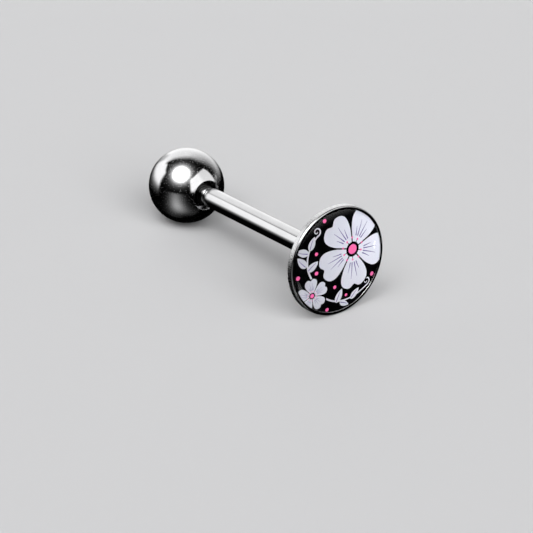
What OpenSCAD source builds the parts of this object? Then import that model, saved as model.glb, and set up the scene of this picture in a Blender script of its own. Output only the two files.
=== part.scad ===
// Tongue barbell: a straight steel post with a disc-shaped cup welded to one end, a printed
// picture under a clear resin dome in the cup, and a steel ball that screws on the other end.
// Millimetres. The barbell lies as it rests on a flat floor: the ball and the cup's back edge
// both touch z = 0, and the cup is at the +X end. The origin is the bottom centre of its box.

/* [Ball] */
// Diameter of the screw-on ball
ball_d = 6; // [5:0.5:7]
// Diameter of the countersink's mouth in the ball
sink_d = 2.4; // [2.2:0.1:2.8]

/* [Post] */
// Diameter of the post, 14 gauge
post_d = 1.6; // [1.4:0.1:1.6]
// Length of the post between the ball and the cup
post_l = 16; // [12:1:20]
// Length of the thread inside the ball
thread_l = 3.15; // [2.45:0.35:3.15]

/* [Cup] */
// Outer diameter of the cup
cup_d = 8.5; // [7.7:0.1:10]
// Thickness of the cup from its back to its lip
cup_t = 0.56; // [0.56:0.02:1.2]
// Width of the flat on the lip
lip_w = 0.07; // [0.05:0.01:0.15]
// Radius of the lip's rounded outer edge
round_r = 0.2; // [0.1:0.01:0.25]
// Radius of the weld's fillet where the post meets the cup
weld_r = 0.15; // [0.1:0.01:0.2]

/* [Picture] */
// Thickness of the printed disc
print_t = 0.1; // [0.08:0.01:0.12]
// Depth of the printed face below the lip
print_depth = 0.2; // [0.18:0.01:0.22]
// Height of the resin dome above the lip
dome_h = 0.42; // [0.3:0.02:0.8]

/* [Hidden] */
$fn = 96;
gap = 0.01;                         // between pieces that are pressed or poured together
screw_gap = 0.02;                   // round the thread, in the ball's bore
ball_r = ball_d / 2;
post_r = post_d / 2;
cup_r = cup_d / 2;
u_back = ball_r + post_l;           // along the axis from the ball's centre: the cup's back face
u_lip = u_back + cup_t;             // the lip's top
lip_out = cup_r - round_r;          // the flat's outer edge
cup_in = lip_out - lip_w;           // the recess
u_print = u_lip - print_depth;      // the printed face
u_floor = u_print - print_t - gap;  // the recess's floor
edge = 0.03;                        // broken edge on the cup's back

pitch = 0.35;
thread_r = post_r - 0.02;           // crest of the thread
root_r = thread_r - 0.19;           // root of the thread
neck_r = post_r - 0.18;             // run-out groove behind the thread
u_thread = ball_r + 0.02;           // the thread starts just outside the ball
u_neck = ball_r + 0.2;              // end of the groove
u_post = ball_r + 0.36;             // the post's full diameter starts here
u_tip = u_thread - thread_l;        // the post's free end, inside the ball
bore_r = thread_r + screw_gap;
sink_r = sink_d / 2;
u_mouth = sqrt(ball_r * ball_r - sink_r * sink_r);
u_sink = u_mouth - (sink_r - bore_r);

// the dome is a cap of a sphere that rises dome_h from the recess's edge
dome_r = (cup_in * cup_in + dome_h * dome_h) / (2 * dome_h);
dome_u = u_lip + dome_h - dome_r;

// the cup is wider than the ball, so the axis rises towards the cup
touch_u = u_back + edge;
tilt = acos(ball_r / sqrt(cup_r * cup_r + touch_u * touch_u)) - atan2(touch_u, cup_r);
x_low = -ball_r;
x_high = dome_u * cos(tilt) + dome_r;
ball_x = -(x_low + x_high) / 2;

// puts a shape made along +Z from the ball's centre onto the tilted axis
module on_axis() {
  translate([ball_x, 0, ball_r]) rotate([0, 90 - tilt, 0]) children();
}

// the threaded end as one sharp ring per turn
module thread() {
  turns = round(thread_l / pitch);
  rotate_extrude() polygon(concat(
    [[0, u_tip], [root_r, u_tip]],
    [for (i = [0:turns - 1], p = [[root_r, 0.05], [thread_r, 0.175], [root_r, 0.3]])
      [p[0], u_tip + i * pitch + p[1]]],
    [[root_r, u_thread + 0.01], [0, u_thread + 0.01]]));
}

module post_and_cup() color([0.80, 0.81, 0.83]) on_axis() {
  thread();
  // run-out groove, its shoulder, and the smooth post
  translate([0, 0, u_thread]) cylinder(r = neck_r, h = u_neck - u_thread + 0.01);
  translate([0, 0, u_neck]) cylinder(r1 = neck_r, r2 = post_r, h = u_post - u_neck);
  translate([0, 0, u_post]) cylinder(r = post_r, h = u_back - u_post + 0.05);
  // the weld's fillet
  rotate_extrude() difference() {
    translate([post_r - 0.05, u_back - weld_r]) square([weld_r + 0.05, weld_r + 0.05]);
    translate([post_r + weld_r, u_back - weld_r]) circle(r = weld_r);
  }
  // the cup: broken back edge, straight side, rounded edge, recess
  difference() {
    union() {
      translate([0, 0, u_back]) cylinder(r1 = cup_r - edge, r2 = cup_r, h = edge);
      translate([0, 0, u_back + edge]) cylinder(r = cup_r, h = cup_t - round_r - edge);
      translate([0, 0, u_back + edge]) cylinder(r = lip_out, h = cup_t - edge);
      rotate_extrude() translate([lip_out, u_lip - round_r]) circle(r = round_r);
    }
    translate([0, 0, u_floor]) cylinder(r = cup_in, h = cup_t);
  }
}

module print_disc() color([0.86, 0.86, 0.95]) on_axis()
  translate([0, 0, u_floor + gap]) cylinder(r = cup_in - gap, h = print_t);

module dome() color([0.90, 0.92, 0.98]) on_axis() intersection() {
  translate([0, 0, dome_u]) sphere(r = dome_r, $fn = 360);
  translate([0, 0, u_print + gap]) cylinder(r = cup_in - gap, h = 5);
}

module ball() color([0.78, 0.79, 0.81]) on_axis() difference() {
  sphere(r = ball_r);
  // threaded bore, cut to the crest of the thread, with the drill's point at its end
  translate([0, 0, u_tip - 0.2]) cylinder(r = bore_r, h = ball_r + 1 - u_tip);
  translate([0, 0, u_tip - 0.2 - 0.4]) cylinder(r1 = 0.05, r2 = bore_r, h = 0.4);
  // countersink
  translate([0, 0, u_sink]) cylinder(r1 = bore_r, r2 = bore_r + 2, h = 2);
}

post_and_cup();
print_disc();
dome();
ball();
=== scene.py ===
import math

import bpy
import numpy as np
from mathutils import Matrix, Vector
from mathutils.geometry import delaunay_2d_cdt


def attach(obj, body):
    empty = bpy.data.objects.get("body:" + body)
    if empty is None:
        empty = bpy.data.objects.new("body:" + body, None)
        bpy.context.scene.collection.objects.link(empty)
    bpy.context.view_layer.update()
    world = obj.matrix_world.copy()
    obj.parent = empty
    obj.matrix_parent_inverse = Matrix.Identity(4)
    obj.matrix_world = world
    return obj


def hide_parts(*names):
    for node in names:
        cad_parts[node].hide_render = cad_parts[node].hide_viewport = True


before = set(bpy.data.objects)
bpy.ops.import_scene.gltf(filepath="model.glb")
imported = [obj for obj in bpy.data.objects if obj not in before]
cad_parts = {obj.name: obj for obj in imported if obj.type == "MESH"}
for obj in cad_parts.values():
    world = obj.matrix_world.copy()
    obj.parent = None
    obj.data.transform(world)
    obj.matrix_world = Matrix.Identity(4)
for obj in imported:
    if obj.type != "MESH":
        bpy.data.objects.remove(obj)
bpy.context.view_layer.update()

# ---------------------------------------------------------------- sizes, in mm, as in the part's source
BALL_R, POST_R, POST_L = 3.0, 0.8, 16.0
CUP_R, CUP_T, LIP_W, ROUND_R, WELD_R = 4.25, 0.56, 0.07, 0.2, 0.15
PRINT_T, PRINT_DEPTH, DOME_H = 0.1, 0.2, 0.42
GAP, SCREW_GAP, EDGE, PITCH = 0.01, 0.02, 0.03, 0.35
U_BACK = BALL_R + POST_L
U_LIP = U_BACK + CUP_T
LIP_OUT = CUP_R - ROUND_R
CUP_IN = LIP_OUT - LIP_W
U_PRINT = U_LIP - PRINT_DEPTH
U_FLOOR = U_PRINT - PRINT_T - GAP
THREAD_R, ROOT_R = POST_R - 0.02, POST_R - 0.21
NECK_R = POST_R - 0.18
U_THREAD, U_NECK, U_POST = BALL_R + 0.02, BALL_R + 0.2, BALL_R + 0.36
U_TIP = U_THREAD - 3.15
SINK_R = 1.2
U_MOUTH = math.sqrt(BALL_R**2 - SINK_R**2)
BORE_R = THREAD_R + SCREW_GAP
U_SINK = U_MOUTH - (SINK_R - BORE_R)
DOME_R = (CUP_IN**2 + DOME_H**2) / (2 * DOME_H)
DOME_U = U_LIP + DOME_H - DOME_R
TILT = math.acos(BALL_R / math.hypot(CUP_R, U_BACK + EDGE)) - math.atan2(U_BACK + EDGE, CUP_R)
BALL_X = -(-BALL_R + DOME_U * math.cos(TILT) + DOME_R) / 2

# the barbell's own axes: A along the post towards the cup, E1 up, E2 to the side
A = np.array([math.cos(TILT), 0.0, math.sin(TILT)])
E1 = np.array([-math.sin(TILT), 0.0, math.cos(TILT)])
E2 = np.cross(A, E1)
ORIGIN = np.array([BALL_X, 0.0, BALL_R])


def to_row(x, y, u):
    """Points given across (x along E1, y along E2) and along (u) the barbell, in mm, as row-frame metres."""
    p = ORIGIN + np.outer(x, E1) + np.outer(y, E2) + np.outer(u, A)
    return p * 0.001


# ---------------------------------------------------------------- mesh making
def add_object(name, verts, faces, uvs=None, local=None):
    mesh = bpy.data.meshes.new(name)
    mesh.from_pydata([tuple(v) for v in verts], [], faces)
    if local is not None:
        layer = mesh.attributes.new("axis_mm", "FLOAT_VECTOR", "POINT")
        layer.data.foreach_set("vector", np.asarray(local, np.float32).ravel())
    if uvs is not None:
        layer = mesh.uv_layers.new(name="UVMap")
        layer.data.foreach_set("uv", np.asarray(uvs, np.float32).ravel())
    mesh.validate(clean_customdata=False)
    mesh.update()
    for p in mesh.polygons:
        p.use_smooth = True
    ob = bpy.data.objects.new(name, mesh)
    bpy.context.scene.collection.objects.link(ob)
    return ob


def rounded(points, seg=4, support=0.012):
    """A profile of (u, r, radius) corners with each corner rounded, and a support point beside each arc so that flats stay flat."""
    out = []
    n = len(points)
    for i, (u, r, rad) in enumerate(points):
        p = np.array([u, r], float)
        if rad <= 0 or i in (0, n - 1):
            out.append(p)
            continue
        a = np.array(points[i - 1][:2], float) - p
        b = np.array(points[i + 1][:2], float) - p
        la, lb = np.linalg.norm(a), np.linalg.norm(b)
        a, b = a / la, b / lb
        half = math.acos(max(-1.0, min(1.0, float(a @ b)))) / 2
        cut = min(rad / math.tan(half), 0.45 * la, 0.45 * lb)
        rad = cut * math.tan(half)
        centre = p + (a + b) / np.linalg.norm(a + b) * rad / math.sin(half)
        s, e = p + a * cut, p + b * cut
        if la * 0.5 > cut + support:
            out.append(s + a * support)
        v0, v1 = s - centre, e - centre
        ang = math.atan2(v0[0] * v1[1] - v0[1] * v1[0], v0 @ v1)
        for k in range(seg + 1):
            t = ang * k / seg
            c, q = math.cos(t), math.sin(t)
            out.append(centre + np.array([v0[0] * c - v0[1] * q, v0[0] * q + v0[1] * c]))
        if lb * 0.5 > cut + support:
            out.append(e + b * support)
    return out


def lathe(name, profile, n_phi, shape=None):
    """A closed surface of revolution about the barbell's axis. shape(u, r, phi) may change a ring's radius."""
    phi = np.linspace(0, 2 * math.pi, n_phi, endpoint=False) + math.pi  # the seam is underneath
    pts, local, ring, faces, uvs = [], [], [], [], []
    arc = [0.0]
    for a, b in zip(profile, profile[1:]):
        arc.append(arc[-1] + float(np.hypot(*(np.array(b) - np.array(a)))))
    for u, r in profile:
        if r < 1e-9:
            ring.append([len(pts)])
            pts.append((0.0, 0.0, u))
        else:
            rr = np.full(n_phi, float(r)) if shape is None else shape(u, r, phi)
            ring.append(list(range(len(pts), len(pts) + n_phi)))
            pts.extend(zip(rr * np.cos(phi), rr * np.sin(phi), np.full(n_phi, float(u))))
    for i in range(len(ring) - 1):
        a, b = ring[i], ring[i + 1]
        for k in range(n_phi):
            k2 = (k + 1) % n_phi
            ua, ub = k / n_phi, (k + 1) / n_phi
            if len(a) == 1 and len(b) == 1:
                continue
            if len(a) == 1:
                faces.append((a[0], b[k2], b[k]))
                uvs += [((ua + ub) / 2, arc[i]), (ub, arc[i + 1]), (ua, arc[i + 1])]
            elif len(b) == 1:
                faces.append((a[k], a[k2], b[0]))
                uvs += [(ua, arc[i]), (ub, arc[i]), ((ua + ub) / 2, arc[i + 1])]
            else:
                faces.append((a[k], a[k2], b[k2], b[k]))
                uvs += [(ua, arc[i]), (ub, arc[i]), (ub, arc[i + 1]), (ua, arc[i + 1])]
    p = np.array(pts)
    return add_object(name, to_row(p[:, 0], p[:, 1], p[:, 2]), faces, uvs, p)


def smooth(x, lo, hi):
    t = np.clip((x - lo) / (hi - lo), 0, 1)
    return t * t * (3 - 2 * t)


def thread_height(u, phi):
    """0 at the thread's root and 1 at its crest, for a single right-hand start."""
    f = (u - U_TIP) / PITCH + phi / (2 * math.pi)
    f = np.abs((f % 1.0) - 0.5) * 2  # 1 at the crest's middle, 0 at the root's
    return np.clip((f - 0.22) / 0.62, 0, 1)


def on_post(u, r, phi):
    if not U_TIP + 0.01 < u < U_THREAD + 0.05:
        return np.full(len(phi), float(r))
    lead = ROOT_R - 0.10 + (u - U_TIP) * 1.1  # the chamfer at the tip
    fade = 1 - smooth(u, U_THREAD - 0.12, U_THREAD + 0.05)
    h = ROOT_R + (THREAD_R - ROOT_R) * thread_height(u, phi) * fade
    h = h + (NECK_R - ROOT_R) * smooth(u, U_THREAD - 0.12, U_THREAD + 0.05)
    return np.minimum(h, lead)


def in_ball(u, r, phi):
    if r > 1 or not U_TIP - 0.18 < u < U_SINK - 0.005:
        return np.full(len(phi), float(r))
    fade = smooth(u, U_TIP - 0.18, U_TIP - 0.05)
    h = ROOT_R + SCREW_GAP + (THREAD_R - ROOT_R) * thread_height(u, phi) * fade
    lead = BORE_R - (U_SINK - u) * 1.3
    return np.maximum(h, lead)


# ---------------------------------------------------------------- the post and its cup: one welded piece
profile = [(U_TIP, 0.0), (U_TIP, ROOT_R - 0.12)]
step = PITCH / 16
u = U_TIP + 0.02
while u < U_THREAD + 0.05:
    profile.append((u, ROOT_R))
    u += step
profile += [tuple(p) for p in rounded([
    (U_THREAD + 0.05, NECK_R, 0),
    (U_NECK - 0.03, NECK_R, 0.03),
    (U_POST + 0.02, POST_R, 0.3),
    (U_BACK, POST_R, WELD_R),
    (U_BACK, CUP_R, 0.05),
    (U_LIP, CUP_R, ROUND_R - 0.002),
    (U_LIP, CUP_IN, 0.02),
    (U_FLOOR, CUP_IN, 0.015),
    (U_FLOOR, 0.0, 0),
], seg=12)]
post = lathe("post_and_cup_steel", profile, 192, on_post)

# ---------------------------------------------------------------- the ball: sphere, countersink, threaded bore
mouth = math.atan2(U_MOUTH, SINK_R)
profile = [(-BALL_R, 0.0)]
n = 150
for i in range(1, n):
    e = -math.pi / 2 + (mouth - 0.012 + math.pi / 2) * i / (n - 1)
    profile.append((BALL_R * math.sin(e), BALL_R * math.cos(e)))
profile += [tuple(p) for p in rounded([
    (profile[-1][0], profile[-1][1], 0),
    (U_MOUTH, SINK_R, 0.03),
    (U_SINK, BORE_R, 0.02),
    (U_SINK - 0.02, BORE_R, 0),
], seg=5)][1:]
u = U_SINK - 0.03
while u > U_TIP - 0.19:
    profile.append((u, ROOT_R + SCREW_GAP))
    u -= step
profile += [tuple(p) for p in rounded([
    (U_TIP - 0.2, ROOT_R + SCREW_GAP, 0),
    (U_TIP - 0.35, ROOT_R + SCREW_GAP, 0.03),
    (U_TIP - 0.58, 0.0, 0),
], seg=3)]
ball = lathe("ball_steel", profile, 224, in_ball)

# ---------------------------------------------------------------- the resin dome
R_D = CUP_IN + 0.002
edge_u = U_LIP - 0.015
profile = [(U_PRINT - 0.003, 0.0), (U_PRINT - 0.003, R_D - 0.004), (U_PRINT + 0.002, R_D), (edge_u - 0.01, R_D)]
n = 60
for i in range(n + 1):
    x = math.cos(math.pi / 2 * i / n) if i < n else 0.0
    h = (1 - x**2.5) ** 0.92
    profile.append((edge_u + (U_LIP + DOME_H - 0.003 - edge_u) * h, (R_D - 0.001) * x))
profile[-1] = (profile[-1][0], 0.0)
dome = lathe("resin_dome", profile, 192)

# ---------------------------------------------------------------- the print
R_P = CUP_IN - GAP
BLACK, PALE, PINK, VIOLET = 0, 1, 2, 3


def outline_circle(cx, cy, r, n=48):
    return [(cx + r * math.cos(2 * math.pi * i / n), cy + r * math.sin(2 * math.pi * i / n)) for i in range(n)]


def petal(cx, cy, angle, r0, r1, width, notch=0.0, n=26):
    """A rounded petal from radius r0 to r1 about (cx, cy)."""
    pts = []
    for i in range(n + 1):
        t = i / n
        w = width * math.sin(math.pi * t ** 0.75) ** 0.8 / 2 if 0 < t < 1 else 0.0
        pts.append((r0 + (r1 - r0) * t, w))
    tip = [(r0 + (r1 - r0) * (1 - notch), 0.0)]
    side = pts + (tip if notch else [])
    other = [(p, -w) for p, w in reversed(pts[1:-1])]
    c, s = math.cos(angle), math.sin(angle)
    return [(cx + x * c - y * s, cy + x * s + y * c) for x, y in side + other]


def ribbon(points, w0, w1):
    """A tapering stroke through points, with round ends."""
    p = np.array(points, float)
    t = np.linspace(0, 1, len(p))
    d = np.gradient(p, axis=0)
    d /= np.linalg.norm(d, axis=1)[:, None]
    nrm = np.stack([-d[:, 1], d[:, 0]], 1)
    w = (w0 + (w1 - w0) * t)[:, None] / 2
    left, right = p + nrm * w, p - nrm * w
    end = [p[-1] + w[-1] * (d[-1] * math.sin(a) + nrm[-1] * math.cos(a)) for a in np.linspace(0.3, math.pi - 0.3, 6)]
    start = [p[0] - w[0] * (d[0] * math.sin(a) + nrm[0] * math.cos(a)) for a in np.linspace(0.3, math.pi - 0.3, 6)]
    return [tuple(x) for x in [*left, *end, *right[::-1], *start]]


def curve(p0, p1, p2, p3, n=22):
    """Points on a cubic Bezier curve."""
    out = []
    for i in range(n + 1):
        t = i / n
        b = ((1 - t) ** 3, 3 * t * (1 - t) ** 2, 3 * t * t * (1 - t), t**3)
        out.append(tuple(sum(w * q[k] for w, q in zip(b, (p0, p1, p2, p3))) for k in (0, 1)))
    return out


def spiral(cx, cy, r0, r1, a0, turns, n=40):
    out = []
    for i in range(n + 1):
        t = i / n
        r = r0 + (r1 - r0) * t
        a = a0 + 2 * math.pi * turns * t
        out.append((cx + r * math.cos(a), cy + r * math.sin(a)))
    return out


# shapes in painting order: (material, outline); x to the viewer's right, y up
shapes = []


def blossom(cx, cy, size, turn):
    """Five broad notched petals edged in black, dark lines between them, fine veins and a pink heart with stamens."""
    for grow, ink_ in ((0.13, BLACK), (0.0, PALE)):
        for k in range(5):
            mid = math.radians(turn + 72 * k)
            pts = []
            for i in range(57):
                a = -35.5 + 71 * i / 56
                q = abs(a) / 35.5
                r = (size + grow) * (1 - q**6) ** 0.5 * (1 - 0.11 * math.exp(-((a / 6) ** 2)) - 0.035 * (1 - math.cos(math.radians(5 * a))))
                a = math.radians(a) * (1 + grow / size) + 0.05 * math.sin(2.2 * r / size)
                pts.append((cx + r * math.cos(mid + a), cy + r * math.sin(mid + a)))
            shapes.append((ink_, pts + [(cx, cy)]))
    for k in range(5):
        a = math.radians(turn + 36 + 72 * k)
        line = []
        for r in np.linspace(0.1 * size, 1.0 * size, 14):
            b = a + 0.05 * math.sin(2.2 * r / size)
            line.append((cx + r * math.cos(b), cy + r * math.sin(b)))
        shapes.append((BLACK, ribbon(line, 0.03 * size, 0.05 * size)))
    for k in range(5):
        for d, reach in ((-19, 0.58), (-7, 0.74), (7, 0.72), (19, 0.55)):
            line = []
            for r in np.linspace(0.34 * size, reach * size, 10):
                b = math.radians(turn + 72 * k + d * (0.7 + 0.55 * (r / size) ** 2)) + 0.05 * math.sin(2.2 * r / size)
                line.append((cx + r * math.cos(b), cy + r * math.sin(b)))
            shapes.append((VIOLET, ribbon(line, 0.028 * size, 0.008 * size)))
    shapes.append((BLACK, outline_circle(cx, cy, 0.185 * size)))
    shapes.append((PINK, outline_circle(cx, cy, 0.12 * size)))
    for k in range(10):
        a = math.radians(36 * k + turn)
        c, s = math.cos(a), math.sin(a)
        r0, r1 = 0.17 * size, (0.26 + 0.03 * (k % 2)) * size
        shapes.append((BLACK, ribbon([(cx + c * r, cy + s * r) for r in np.linspace(r0, r1, 3)], 0.022 * size, 0.014 * size)))
        shapes.append((PINK, outline_circle(cx + c * r1, cy + s * r1, 0.026 * size, 14)))


def leaf(cx, cy, angle, length, width):
    a = math.radians(angle)
    c, s = math.cos(a), math.sin(a)
    shapes.append((PALE, petal(cx, cy, a, 0.0, length, width)))
    vein = [(cx + c * r - s * 0.05 * math.sin(2.5 * r / length), cy + s * r + c * 0.05 * math.sin(2.5 * r / length)) for r in np.linspace(0.1 * length, 0.78 * length, 9)]
    shapes.append((VIOLET, ribbon(vein, 0.07, 0.03)))


# one large blossom towards the right edge, a small one low on the left, and two stems with leaves and berries
shapes.append((PALE, ribbon(curve((-2.1, -1.2), (-3.1, -0.1), (-3.0, 1.5), (-1.75, 2.45)), 0.15, 0.12)))
shapes.append((PALE, ribbon(spiral(-1.80, 2.80, 0.36, 0.07, math.radians(-80), 1.15), 0.12, 0.06)))
shapes.append((PALE, ribbon(curve((-1.6, -2.3), (-0.6, -3.4), (0.9, -3.6), (2.6, -2.7)), 0.14, 0.11)))
shapes.append((PALE, ribbon(spiral(2.56, -2.35, 0.35, 0.07, math.radians(-80), 1.15), 0.11, 0.055)))
leaf(-2.88, 0.30, 128, 1.15, 0.60)
leaf(-2.62, 1.30, 158, 1.15, 0.60)
leaf(-2.52, 1.52, 62, 1.10, 0.56)
leaf(-2.80, -0.05, 30, 1.15, 0.58)
leaf(-0.30, -3.28, 62, 1.15, 0.58)
leaf(0.05, -3.33, -28, 0.95, 0.44)
leaf(1.05, -3.36, 42, 1.05, 0.52)
blossom(-2.44, -2.08, 1.38, 20)
blossom(1.3, 0.6, 3.15, 53)
for cx, cy, r in ((-3.62, -0.35, 0.17), (-1.05, 3.45, 0.16), (-2.02, -0.38, 0.15), (3.12, -1.95, 0.17), (-1.1, -3.62, 0.15), (-1.95, 1.12, 0.14), (-0.42, -1.95, 0.14), (0.62, -2.88, 0.12)):
    shapes.append((PINK, outline_circle(cx, cy, r, 24)))

ring_out = outline_circle(0, 0, R_P, 200)
R_CLIP = R_P - 0.004


def inside(poly, x, y):
    """Which of the points x, y lie in the outline."""
    hit = np.zeros(len(x), bool)
    px, py = np.array(poly).T
    qx, qy = np.roll(px, -1), np.roll(py, -1)
    for ax, ay, bx, by in zip(px, py, qx, qy):
        if ay == by:
            continue
        cross = (ay > y) != (by > y)
        hit ^= cross & (x < (bx - ax) * (y - ay) / (by - ay) + ax)
    return hit


def print_mesh():
    verts, edges = [], []

    def add_loop(loop):
        k = len(verts)
        verts.extend(Vector(p) for p in loop)
        m = len(loop)
        edges.extend((k + i, k + (i + 1) % m) for i in range(m))

    add_loop(ring_out)
    for _, loop in shapes:
        # what reaches past the edge is cut by it: such points are pulled in to it
        add_loop([(x, y) if math.hypot(x, y) < R_CLIP else (x * R_CLIP / math.hypot(x, y), y * R_CLIP / math.hypot(x, y)) for x, y in loop])
    v, _, f, *_ = delaunay_2d_cdt(verts, edges, [], 0, 1e-6)
    p = np.array([[q.x, q.y] for q in v])
    tri = np.array([t for t in f if len(t) == 3])
    c = p[tri].mean(1)
    area = np.abs(np.cross(p[tri[:, 1]] - p[tri[:, 0]], p[tri[:, 2]] - p[tri[:, 0]]))
    keep = (np.hypot(c[:, 0], c[:, 1]) < R_P) & (area > 1e-12)
    tri, c = tri[keep], c[keep]
    mat = np.zeros(len(tri), int)
    for m, loop in shapes:
        mat[inside(loop, c[:, 0], c[:, 1])] = m
    return p, tri, mat


p2, tri, mat = print_mesh()
# the viewer's right is -E2 and up is E1
used = np.unique(tri)
index = {int(k): i for i, k in enumerate(used)}
top = p2[used]
faces = [tuple(index[int(k)] for k in t) for t in tri]
# wind the faces so that the top looks out of the cup
fixed = []
for t in faces:
    a, b, c = (top[k] for k in t)
    turn = (b[0] - a[0]) * (c[1] - a[1]) - (b[1] - a[1]) * (c[0] - a[0])
    fixed.append(t if turn > 0 else (t[0], t[2], t[1]))
faces = fixed
# border edges of the top, for the side wall
count = {}
for t in faces:
    for i in range(3):
        e = (t[i], t[(i + 1) % 3])
        count[e] = count.get(e, 0) + 1
rim = [e for e in count if (e[1], e[0]) not in count]
nv = len(top)
local = np.concatenate([
    np.stack([top[:, 1], -top[:, 0], np.full(nv, U_PRINT)], 1),
    np.stack([top[:, 1], -top[:, 0], np.full(nv, U_PRINT - PRINT_T)], 1),
])
mats = list(mat)
all_faces = list(faces)
for t in faces:
    all_faces.append(tuple(k + nv for k in (t[0], t[2], t[1])))
    mats.append(BLACK)
for a, b in rim:
    all_faces.append((a, a + nv, b + nv, b))
    mats.append(BLACK)
picture = add_object("printed_disc", to_row(local[:, 0], local[:, 1], local[:, 2]), all_faces, None, local)
for poly, m in zip(picture.data.polygons, mats):
    poly.material_index = int(m)
    poly.use_smooth = False


# ---------------------------------------------------------------- materials
def material(name):
    m = bpy.data.materials.new(name)
    m.use_nodes = True
    tree = m.node_tree
    tree.nodes.clear()
    out = tree.nodes.new("ShaderNodeOutputMaterial")
    bsdf = tree.nodes.new("ShaderNodeBsdfPrincipled")
    tree.links.new(bsdf.outputs["BSDF"], out.inputs["Surface"])
    return m, tree, bsdf


def node(tree, kind, **values):
    n = tree.nodes.new(kind)
    for k, v in values.items():
        if k.startswith("in_"):
            key = k[3:].replace("_", " ")
            n.inputs[int(key) if key.isdigit() else key].default_value = v
        else:
            setattr(n, k, v)
    return n


def link(tree, a, b):
    tree.links.new(a, b)


def ramp(tree, source, stops, interpolation="LINEAR"):
    n = tree.nodes.new("ShaderNodeValToRGB")
    n.color_ramp.interpolation = interpolation
    e = n.color_ramp.elements
    e[0].position, e[0].color = stops[0][0], (*[stops[0][1]] * 3, 1) if not hasattr(stops[0][1], "__len__") else (*stops[0][1], 1)
    e[1].position, e[1].color = stops[-1][0], (*[stops[-1][1]] * 3, 1) if not hasattr(stops[-1][1], "__len__") else (*stops[-1][1], 1)
    for pos, val in stops[1:-1]:
        k = e.new(pos)
        k.color = (*[val] * 3, 1) if not hasattr(val, "__len__") else (*val, 1)
    link(tree, source, n.inputs["Fac"])
    return n.outputs["Color"]


def axis_coords(tree, scale):
    """The barbell's own coordinates in mm, scaled."""
    att = node(tree, "ShaderNodeAttribute", attribute_name="axis_mm")
    mp = node(tree, "ShaderNodeMapping", in_Scale=scale)
    link(tree, att.outputs["Vector"], mp.inputs["Vector"])
    return mp.outputs["Vector"]


def noise(tree, vector, scale, detail=2.0, rough=0.5):
    n = node(tree, "ShaderNodeTexNoise", in_Scale=scale, in_Detail=detail, in_Roughness=rough)
    link(tree, vector, n.inputs["Vector"])
    return n.outputs["Fac"]


def math_node(tree, op, a, b=None, c=None, clamp=False):
    n = node(tree, "ShaderNodeMath", operation=op, use_clamp=clamp)
    for k, v in enumerate((a, b, c)):
        if v is None:
            continue
        if isinstance(v, (int, float)):
            n.inputs[k].default_value = v
        else:
            link(tree, v, n.inputs[k])
    return n.outputs[0]


# mirror-polished ball: fine scuffs that scatter a little of a bright light's reflection
m_ball, t, b = material("mirror_steel")
b.inputs["Metallic"].default_value = 1.0
fine = noise(t, axis_coords(t, (1, 1, 1)), 17.0, 2.0, 0.5)
broad = noise(t, axis_coords(t, (1, 1, 1)), 0.9, 2.0)
specks = ramp(t, fine, [(0.0, 0.0), (0.45, 0.0), (0.70, 1.0), (1.0, 1.0)])
rough = math_node(t, "MULTIPLY_ADD", specks, 0.10, 0.035)
cells = node(t, "ShaderNodeTexVoronoi", in_Scale=9.0)
link(t, axis_coords(t, (1, 1, 1)), cells.inputs["Vector"])
pick = node(t, "ShaderNodeSeparateColor")
link(t, cells.outputs["Color"], pick.inputs[0])
dots = math_node(t, "MULTIPLY", math_node(t, "MULTIPLY", math_node(t, "SUBTRACT", 0.30, cells.outputs["Distance"]), 9.0, clamp=True),
                 math_node(t, "GREATER_THAN", pick.outputs[0], 0.5))
rough = math_node(t, "MULTIPLY_ADD", dots, 0.12, rough)
pits = node(t, "ShaderNodeTexVoronoi", in_Scale=7.5)
link(t, axis_coords(t, (1, 1, 1)), pits.inputs["Vector"])
pit_pick = node(t, "ShaderNodeSeparateColor")
link(t, pits.outputs["Color"], pit_pick.inputs[0])
pit = math_node(t, "MULTIPLY", math_node(t, "MULTIPLY", math_node(t, "SUBTRACT", 0.30, pits.outputs["Distance"]), 12.0, clamp=True),
                math_node(t, "GREATER_THAN", pit_pick.outputs[1], 0.2))
rough = math_node(t, "MULTIPLY_ADD", pit, 0.215, rough)
rough = math_node(t, "MULTIPLY_ADD", broad, 0.02, rough)
tint = ramp(t, broad, [(0.3, (0.80, 0.80, 0.81)), (0.7, (0.86, 0.86, 0.87))])
# painted shade: the thread deep in the bore gets a dark base colour for the shade inside the recess, and is left
# rougher than the polished outside
sep = node(t, "ShaderNodeSeparateXYZ")
link(t, axis_coords(t, (1, 1, 1)), sep.inputs[0])
r2 = math_node(t, "ADD", math_node(t, "POWER", sep.outputs["X"], 2.0), math_node(t, "POWER", sep.outputs["Y"], 2.0))
reach = math_node(t, "SQRT", math_node(t, "ADD", r2, math_node(t, "POWER", sep.outputs["Z"], 2.0)))
cut = math_node(t, "MULTIPLY", math_node(t, "SUBTRACT", BALL_R - 0.4, reach), 10.0, clamp=True)
shade = node(t, "ShaderNodeMix", data_type="RGBA")
link(t, cut, shade.inputs["Factor"])
link(t, tint, shade.inputs["A"])
link(t, ramp(t, fine, [(0.3, (0.10, 0.10, 0.10)), (0.7, (0.20, 0.20, 0.20))]), shade.inputs["B"])
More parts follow.
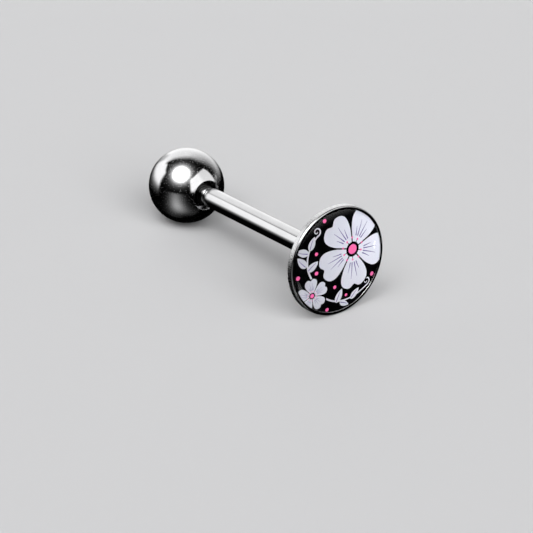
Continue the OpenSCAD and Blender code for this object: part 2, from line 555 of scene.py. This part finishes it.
# painted shade: the countersink and the bore get a darker base colour than the polished outside, for the shade in the
# recess
sink_shade_mask = math_node(t, "MULTIPLY", math_node(t, "SUBTRACT", BALL_R - 0.02, reach), 25.0, clamp=True)
sink_painted_shade = node(t, "ShaderNodeMix", data_type="RGBA", blend_type="MULTIPLY")
link(t, sink_shade_mask, sink_painted_shade.inputs["Factor"])
link(t, shade.outputs["Result"], sink_painted_shade.inputs["A"])
sink_painted_shade.inputs["B"].default_value = (0.56, 0.56, 0.57, 1.0)
link(t, sink_painted_shade.outputs["Result"], b.inputs["Base Color"])
rough = math_node(t, "MULTIPLY_ADD", cut, 0.25, rough)
link(t, rough, b.inputs["Roughness"])
bump = node(t, "ShaderNodeBump", in_Strength=0.05, in_Distance=0.00001)
link(t, noise(t, axis_coords(t, (1, 1, 1)), 22.0, 4.0, 0.65), bump.inputs["Height"])
link(t, bump.outputs["Normal"], b.inputs["Normal"])

# polished post and lip, satin side wall
m_steel, t, b = material("polished_steel")
b.inputs["Metallic"].default_value = 1.0
att = node(t, "ShaderNodeAttribute", attribute_name="axis_mm")
sep = node(t, "ShaderNodeSeparateXYZ")
link(t, att.outputs["Vector"], sep.inputs[0])
along = sep.outputs["Z"]
radius = math_node(t, "SQRT", math_node(t, "ADD", math_node(t, "POWER", sep.outputs["X"], 2.0), math_node(t, "POWER", sep.outputs["Y"], 2.0)))
turning = noise(t, axis_coords(t, (0.35, 0.35, 14.0)), 2.0, 4.0, 0.6)
# the satin wall lies between the cup's back edge and the shoulder
on_side = math_node(t, "MULTIPLY",
                    math_node(t, "MULTIPLY", math_node(t, "SUBTRACT", along, U_BACK + 0.02), 60.0, clamp=True),
                    math_node(t, "MULTIPLY", math_node(t, "SUBTRACT", U_LIP - ROUND_R + 0.03, along), 30.0, clamp=True))
on_side = math_node(t, "MULTIPLY", on_side, math_node(t, "MULTIPLY", math_node(t, "SUBTRACT", radius, CUP_R - 0.08), 100.0, clamp=True))
on_back = math_node(t, "MULTIPLY", math_node(t, "MULTIPLY", math_node(t, "SUBTRACT", U_BACK + 0.02, along), 80.0, clamp=True),
                    math_node(t, "MULTIPLY", math_node(t, "SUBTRACT", radius, 1.0), 20.0, clamp=True))
strokes = noise(t, axis_coords(t, (9.0, 9.0, 1.6)), 1.0, 3.0, 0.6)
fine_side = noise(t, axis_coords(t, (26.0, 26.0, 8.0)), 1.0, 2.0, 0.6)
rings = noise(t, axis_coords(t, (0.0, 0.0, 0.0)), 1.0)
ring_vec = node(t, "ShaderNodeCombineXYZ")
link(t, math_node(t, "MULTIPLY", radius, 26.0), ring_vec.inputs[0])
rings = noise(t, ring_vec.outputs[0], 1.0, 3.0, 0.7)
rough = math_node(t, "MULTIPLY_ADD", turning, 0.08, 0.06)
rough = math_node(t, "MULTIPLY_ADD", on_side, math_node(t, "MULTIPLY_ADD", strokes, 0.16, 0.10), rough)
rough = math_node(t, "MULTIPLY_ADD", on_back, 0.22, rough)
link(t, rough, b.inputs["Roughness"])
tint = ramp(t, noise(t, axis_coords(t, (1.0, 1.0, 0.4)), 1.2, 3.0), [(0.3, (0.74, 0.74, 0.75)), (0.7, (0.81, 0.81, 0.82))])
# painted shade: the thread gets a dark base colour, darkest near the groove where it lies inside the ball's bore
cut = math_node(t, "MULTIPLY", math_node(t, "SUBTRACT", U_THREAD - 0.02, along), 20.0, clamp=True)
far = math_node(t, "MULTIPLY", math_node(t, "SUBTRACT", U_THREAD - 0.75, along), 2.0, clamp=True)
shade = node(t, "ShaderNodeMix", data_type="RGBA")
link(t, cut, shade.inputs["Factor"])
link(t, tint, shade.inputs["A"])
link(t, math_node(t, "MULTIPLY", ramp(t, turning, [(0.3, 0.026), (0.7, 0.05)]), math_node(t, "MULTIPLY_ADD", far, 8.0, 1.0)), shade.inputs["B"])
link(t, shade.outputs["Result"], b.inputs["Base Color"])
height = math_node(t, "MULTIPLY", turning, 0.35)
side_h = math_node(t, "ADD", math_node(t, "MULTIPLY", strokes, 3.0), math_node(t, "MULTIPLY", fine_side, 1.2))
height = math_node(t, "MULTIPLY_ADD", on_side, side_h, height)
height = math_node(t, "MULTIPLY_ADD", on_back, math_node(t, "MULTIPLY", rings, 1.5), height)
bump = node(t, "ShaderNodeBump", in_Strength=0.35, in_Distance=0.00001)
link(t, height, bump.inputs["Height"])
link(t, bump.outputs["Normal"], b.inputs["Normal"])

# clear resin
m_resin, t, b = material("clear_resin")
b.inputs["Base Color"].default_value = (0.985, 0.985, 1.0, 1.0)
b.inputs["Transmission Weight"].default_value = 1.0
b.inputs["IOR"].default_value = 1.5
ripple = noise(t, axis_coords(t, (1, 1, 1)), 0.7, 1.0)
link(t, math_node(t, "MULTIPLY_ADD", ripple, 0.01, 0.0), b.inputs["Roughness"])
bump = node(t, "ShaderNodeBump", in_Strength=0.2, in_Distance=0.00002)
link(t, ripple, bump.inputs["Height"])
link(t, bump.outputs["Normal"], b.inputs["Normal"])


# printed inks
def ink(name, low, high, roughness=0.45, fall=0.0):
    """An ink between two tones, darker by the share fall towards the picture's left."""
    m, t, b = material(name)
    grain = noise(t, axis_coords(t, (1, 1, 1)), 14.0, 3.0, 0.6)
    cloud = noise(t, axis_coords(t, (1, 1, 1)), 0.5, 2.0)
    both = math_node(t, "ADD", math_node(t, "MULTIPLY", grain, 0.35), math_node(t, "MULTIPLY", cloud, 0.65))
    colour = ramp(t, both, [(0.35, low), (0.65, high)])
    sep = node(t, "ShaderNodeSeparateXYZ")
    link(t, axis_coords(t, (1, 1, 1)), sep.inputs[0])
    across = math_node(t, "MULTIPLY_ADD", sep.outputs["Y"], 1 / 7.9, 0.5, clamp=True)
    shade = ramp(t, across, [(0.0, (1.0, 1.0, 1.0)), (0.5, (1 - 0.5 * fall, 1 - 0.5 * fall, 1 - 0.5 * fall)), (1.0, (1 - fall, 1 - fall, 1 - fall))])
    graded = node(t, "ShaderNodeMix", data_type="RGBA", blend_type="MULTIPLY")
    graded.inputs["Factor"].default_value = 1.0
    link(t, colour, graded.inputs["A"])
    link(t, shade, graded.inputs["B"])
    link(t, graded.outputs["Result"], b.inputs["Base Color"])
    link(t, math_node(t, "MULTIPLY_ADD", grain, 0.1, roughness), b.inputs["Roughness"])
    b.inputs["Specular IOR Level"].default_value = 0.0
    return m


inks = [
    ink("ink_black", (0.001, 0.001, 0.0012), (0.002, 0.002, 0.0025)),
    ink("ink_pale", (0.87, 0.885, 0.97), (0.91, 0.925, 1.0), fall=0.38),
    ink("ink_pink", (0.97, 0.155, 0.41), (1.0, 0.19, 0.47)),
    ink("ink_violet", (0.14, 0.11, 0.30), (0.18, 0.14, 0.36)),
]
for ob, mats_ in ((post, [m_steel]), (ball, [m_ball]), (dome, [m_resin]), (picture, inks)):
    for m in mats_:
        ob.data.materials.append(m)

for ob, body, cad, slot in (
    (post, "root", "post_and_cup", "polished_steel"),
    (picture, "root", "print_disc", "print"),
    (dome, "root", "dome", "clear_resin"),
    (ball, "ball", "ball", "mirror_steel"),
):
    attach(ob, body)
    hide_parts(cad)

# ---------------------------------------------------------------- floor
mesh = bpy.data.meshes.new("floor")
s = 6.0
mesh.from_pydata([(-s, -s, 0), (s, -s, 0), (s, s, 0), (-s, s, 0)], [], [(0, 1, 2, 3)])
floor = bpy.data.objects.new("floor", mesh)
bpy.context.scene.collection.objects.link(floor)
m_floor, t, b = material("floor_pale")
b.inputs["Base Color"].default_value = (0.325, 0.325, 0.33, 1.0)
b.inputs["Roughness"].default_value = 0.6
b.inputs["Specular IOR Level"].default_value = 0.2
floor.data.materials.append(m_floor)
floor.visible_glossy = False

# ---------------------------------------------------------------- studio: soft panels round a dark room, as directions
AZ = math.radians(53.50)
EL = math.radians(27.23)
right = np.array([math.cos(AZ), math.sin(AZ), 0.0])
back = np.array([math.sin(AZ) * math.cos(EL), -math.cos(AZ) * math.cos(EL), math.sin(EL)])
up = np.cross(back, right)
behind = -np.array([math.sin(AZ), -math.cos(AZ), 0.0])


def direction(az, el):
    a, e = math.radians(az), math.radians(el)
    return (math.sin(a) * math.cos(e), -math.cos(a) * math.cos(e), math.sin(e))


world = bpy.data.worlds.new("studio")
bpy.context.scene.world = world
world.use_nodes = True
t = world.node_tree
t.nodes.clear()
out = node(t, "ShaderNodeOutputWorld")
bg = node(t, "ShaderNodeBackground")
coord = node(t, "ShaderNodeTexCoord")
vec = coord.outputs["Generated"]


def dot(v):
    n = node(t, "ShaderNodeVectorMath", operation="DOT_PRODUCT")
    link(t, vec, n.inputs[0])
    n.inputs[1].default_value = tuple(float(x) for x in v)
    return n.outputs["Value"]


def step_up(x, lo, hi):
    n = node(t, "ShaderNodeMapRange", interpolation_type="SMOOTHSTEP", clamp=True)
    link(t, x, n.inputs["Value"])
    n.inputs["From Min"].default_value = lo
    n.inputs["From Max"].default_value = hi
    return n.outputs["Result"]


def mul(*xs):
    return xs[0] if len(xs) == 1 else math_node(t, "MULTIPLY", xs[0], mul(*xs[1:]))


def add(*xs):
    return xs[0] if len(xs) == 1 else math_node(t, "ADD", xs[0], add(*xs[1:]))


def profile_of(x, lo, hi, points):
    """A smooth falloff: straight lines through (x, value) points, values 0 to 1."""
    n = node(t, "ShaderNodeFloatCurve")
    c = n.mapping.curves[0]
    xy = [((q - lo) / (hi - lo), y) for q, y in points]
    xy = [(0.0, xy[0][1])] * (xy[0][0] > 0) + xy + [(1.0, xy[-1][1])] * (xy[-1][0] < 1)
    while len(c.points) < len(xy):
        c.points.new(0.5, 0.5)
    for q, place in zip(c.points, xy):
        q.location = place
        q.handle_type = "VECTOR"
    n.mapping.update()
    link(t, math_node(t, "MULTIPLY_ADD", x, 1 / (hi - lo), -lo / (hi - lo)), n.inputs["Value"])
    return n.outputs["Value"]


def glow(az, el_, radius, reach, most):
    """A round light that fades from its radius outwards, e-fold by e-fold of reach degrees."""
    d = math_node(t, "DEGREES", math_node(t, "ARCCOSINE", dot(direction(az, el_))))
    e = math_node(t, "EXPONENT", math_node(t, "MULTIPLY_ADD", d, -1.0 / reach, radius / reach))
    return math_node(t, "MINIMUM", e, most)


# elevation, and the bearing from straight behind the object, positive to the camera's right, in degrees
el = math_node(t, "DEGREES", math_node(t, "ARCSINE", dot((0, 0, 1))))
bearing = math_node(t, "DEGREES", math_node(t, "ARCTAN2", dot(right), dot(behind)))
neg = math_node(t, "MULTIPLY", bearing, -1.0)

# two tall white panels behind the object, with a thin dark seam between them
top = math_node(t, "MULTIPLY", profile_of(bearing, -180, 180, [(-91, 32 / 90), (-80, 35 / 90), (-62, 39 / 90), (-57, 36.5 / 90), (-53, 32.5 / 90), (-49, 37 / 90), (-45, 42.5 / 90), (-40, 46.5 / 90), (-36, 49 / 90), (-30, 54 / 90), (-25, 56.5 / 90), (-20, 58.5 / 90), (-15, 60 / 90), (0, 61 / 90), (20, 59 / 90), (60, 56 / 90)]), 90.0)
soft = math_node(t, "MULTIPLY", profile_of(bearing, -180, 180, [(-62, 0.1), (-57, 0.13), (-53, 0.22), (-49, 0.34), (-42, 0.48), (-36, 0.5), (-30, 0.45), (-15, 0.43)]), 30.0)
below_top = step_up(math_node(t, "DIVIDE", math_node(t, "SUBTRACT", top, el), soft), -1.0, 1.0)
across = profile_of(bearing, -180, 180, [(-94, 0.0), (-86, 1.0), (-20, 1.0), (0, 0.98), (10, 0.9), (20, 0.77), (30, 0.6), (40, 0.42), (50, 0.22), (60, 0.05), (68, 0.0)])
tall = profile_of(el, -90, 90, [(24, 1.0), (40, 0.92), (60, 0.78)])
# their feet: the left one fades from just above the horizon down, the right one reaches further down
foot_left = profile_of(el, -90, 90, [(-22, 0.0), (-16, 0.024), (-12, 0.062), (-8, 0.14), (-4, 0.30), (-2, 0.46), (0, 0.60), (4, 0.83), (8, 0.92), (20, 0.96), (26, 1.0)])
lobe = math_node(t, "EXPONENT", math_node(t, "MULTIPLY", math_node(t, "POWER", math_node(t, "ABSOLUTE", bearing), 2.0), -1 / 14.0**2))
foot = math_node(t, "MULTIPLY_ADD", lobe, -26.0, -11.0)
foot_right = math_node(t, "POWER", math_node(t, "DIVIDE", math_node(t, "SUBTRACT", el, foot), math_node(t, "SUBTRACT", 4.0, foot), clamp=True), 1.0)
foot_right = mul(foot_right, profile_of(el, -90, 90, [(4, 1.0), (12, 0.94), (20, 0.875), (26, 0.833)]), 1.2)
seam_at = profile_of(el, -90, 90, [(-20, 160 / 180), (-8, 160 / 180), (8, 153 / 180), (20, 149 / 180), (28, 139 / 180), (34.5, 127 / 180), (42, 110 / 180)])
off_seam = math_node(t, "SUBTRACT", bearing, math_node(t, "MULTIPLY_ADD", seam_at, 180.0, -180.0))
is_left = step_up(math_node(t, "MULTIPLY", off_seam, -1.0), -1.5, 1.5)
foot_both = add(mul(is_left, foot_left), mul(math_node(t, "SUBTRACT", 1.0, is_left), foot_right))
depth = profile_of(el, -90, 90, [(-10, 0.5), (10, 0.55), (18, 0.3), (23, 0.1), (28, 0.0)])
gap_ = math_node(t, "MULTIPLY", math_node(t, "SUBTRACT", 1.0, step_up(math_node(t, "ABSOLUTE", off_seam), 3.0, 10.0)), depth)
tone = math_node(t, "MULTIPLY_ADD", is_left, 0.16, 1.02)
wall = mul(below_top, across, tall, foot_both, tone, math_node(t, "SUBTRACT", 1.0, gap_))
# a soft box to the right, brighter on its far half, and two small pale things beside it
from_mid = math_node(t, "SUBTRACT", bearing, 115.0)
box_top = math_node(t, "MULTIPLY_ADD", math_node(t, "MULTIPLY", from_mid, from_mid), -0.0049, 51.0)
box_left = math_node(t, "MULTIPLY_ADD", el, 0.08, 77.0)
box_ = mul(step_up(math_node(t, "SUBTRACT", bearing, box_left), -1.5, 2.5), step_up(neg, -168.5, -162.0),
           step_up(math_node(t, "SUBTRACT", box_top, el), -2.0, 2.0),
           profile_of(el, -90, 90, [(-1, 0.0), (1, 0.1), (4, 0.45), (8, 0.96), (10, 1.0)]))
box_ = mul(box_, math_node(t, "MULTIPLY_ADD", step_up(bearing, 112.0, 130.0), 0.34, 0.84))
small = add(math_node(t, "MULTIPLY", glow(-192.5, 6, 0, 3.0, 1.0), 0.6), math_node(t, "MULTIPLY", glow(-201.5, 2, 0, 3.5, 1.0), 0.35))
# a round lamp high on the left of the camera
lamp = glow(24.8, 57.0, 26.4, 5.3, 9.0)
# a dim round patch of light below, ending at the horizon
patch_az = 22.5
side = dot(direction(patch_az + 90, 0))
ahead = math_node(t, "GREATER_THAN", dot(direction(patch_az, 0)), 0.0)
spread = math_node(t, "EXPONENT", math_node(t, "MULTIPLY", math_node(t, "MULTIPLY", side, side), -1 / 0.29**2))
patch = mul(ahead, spread, profile_of(el, -90, 90, [(-85, 0.0), (-75, 0.03), (-70, 0.07), (-65, 0.14), (-55, 0.29), (-45, 0.4), (-38, 0.4), (-20, 0.29), (-5, 0.19), (0, 0.0)]))
glint = mul(step_up(dot(direction(149.5, -20)), math.cos(math.radians(1.9)), math.cos(math.radians(0.9))), 4.0)
# a faint streak low on the right, that only the dome's lower edge mirrors
near, far = np.array(direction(-126.5 - 138, -25)), np.array(direction(-126.5 - 123, -43))
mid = (near + far) / np.linalg.norm(near + far)
long_ = (far - near) / np.linalg.norm(far - near)
q = math_node(t, "ADD", math_node(t, "POWER", math_node(t, "MULTIPLY", dot(long_), 1 / 0.19), 2.0),
              math_node(t, "POWER", math_node(t, "MULTIPLY", dot(np.cross(mid, long_)), 1 / 0.05), 2.0))
streak = mul(step_up(math_node(t, "MULTIPLY", q, -1.0), -1.6, -0.5), math_node(t, "GREATER_THAN", dot(mid), 0.0), 1.1)
total = add(wall, box_, small, lamp, patch, glint, streak, 0.0005)
path = node(t, "ShaderNodeLightPath")
mix = node(t, "ShaderNodeMix", data_type="FLOAT")
link(t, path.outputs["Is Camera Ray"], mix.inputs["Factor"])
link(t, total, mix.inputs["A"])
mix.inputs["B"].default_value = 0.72
link(t, mix.outputs["Result"], bg.inputs["Strength"])
bg.inputs["Color"].default_value = (1.0, 1.0, 1.0, 1.0)
link(t, bg.outputs["Background"], out.inputs["Surface"])

# light from the front that falls on the floor and the print, and that no steel mirrors
sun = bpy.data.lights.new("front_light", "SUN")
sun.energy = 3.82
sun.angle = math.radians(50)
sun_ob = bpy.data.objects.new("front_light", sun)
bpy.context.scene.collection.objects.link(sun_ob)
sun_ob.rotation_euler = Vector(direction(78, 36)).to_track_quat("Z", "Y").to_euler()
sun_ob.visible_glossy = False

# ---------------------------------------------------------------- camera
F_PX, SIZE = 2526.0, 533.0
BALL_CAM = (-6.338, -6.443, 200.36)  # the ball's centre seen from the camera: right, down, forward, in mm
pos = ORIGIN - (right * BALL_CAM[0] - up * BALL_CAM[1] - back * BALL_CAM[2])
cam_data = bpy.data.cameras.new("camera")
cam = bpy.data.objects.new("camera", cam_data)
bpy.context.scene.collection.objects.link(cam)
cam.matrix_world = Matrix((
    (right[0], up[0], back[0], pos[0] * 0.001),
    (right[1], up[1], back[1], pos[1] * 0.001),
    (right[2], up[2], back[2], pos[2] * 0.001),
    (0, 0, 0, 1),
))
cam_data.sensor_width = 36.0
cam_data.lens = 36.0 * F_PX / SIZE
cam_data.clip_start, cam_data.clip_end = 0.001, 50.0
bpy.context.scene.camera = cam
bpy.context.scene.view_settings.view_transform = "Standard"
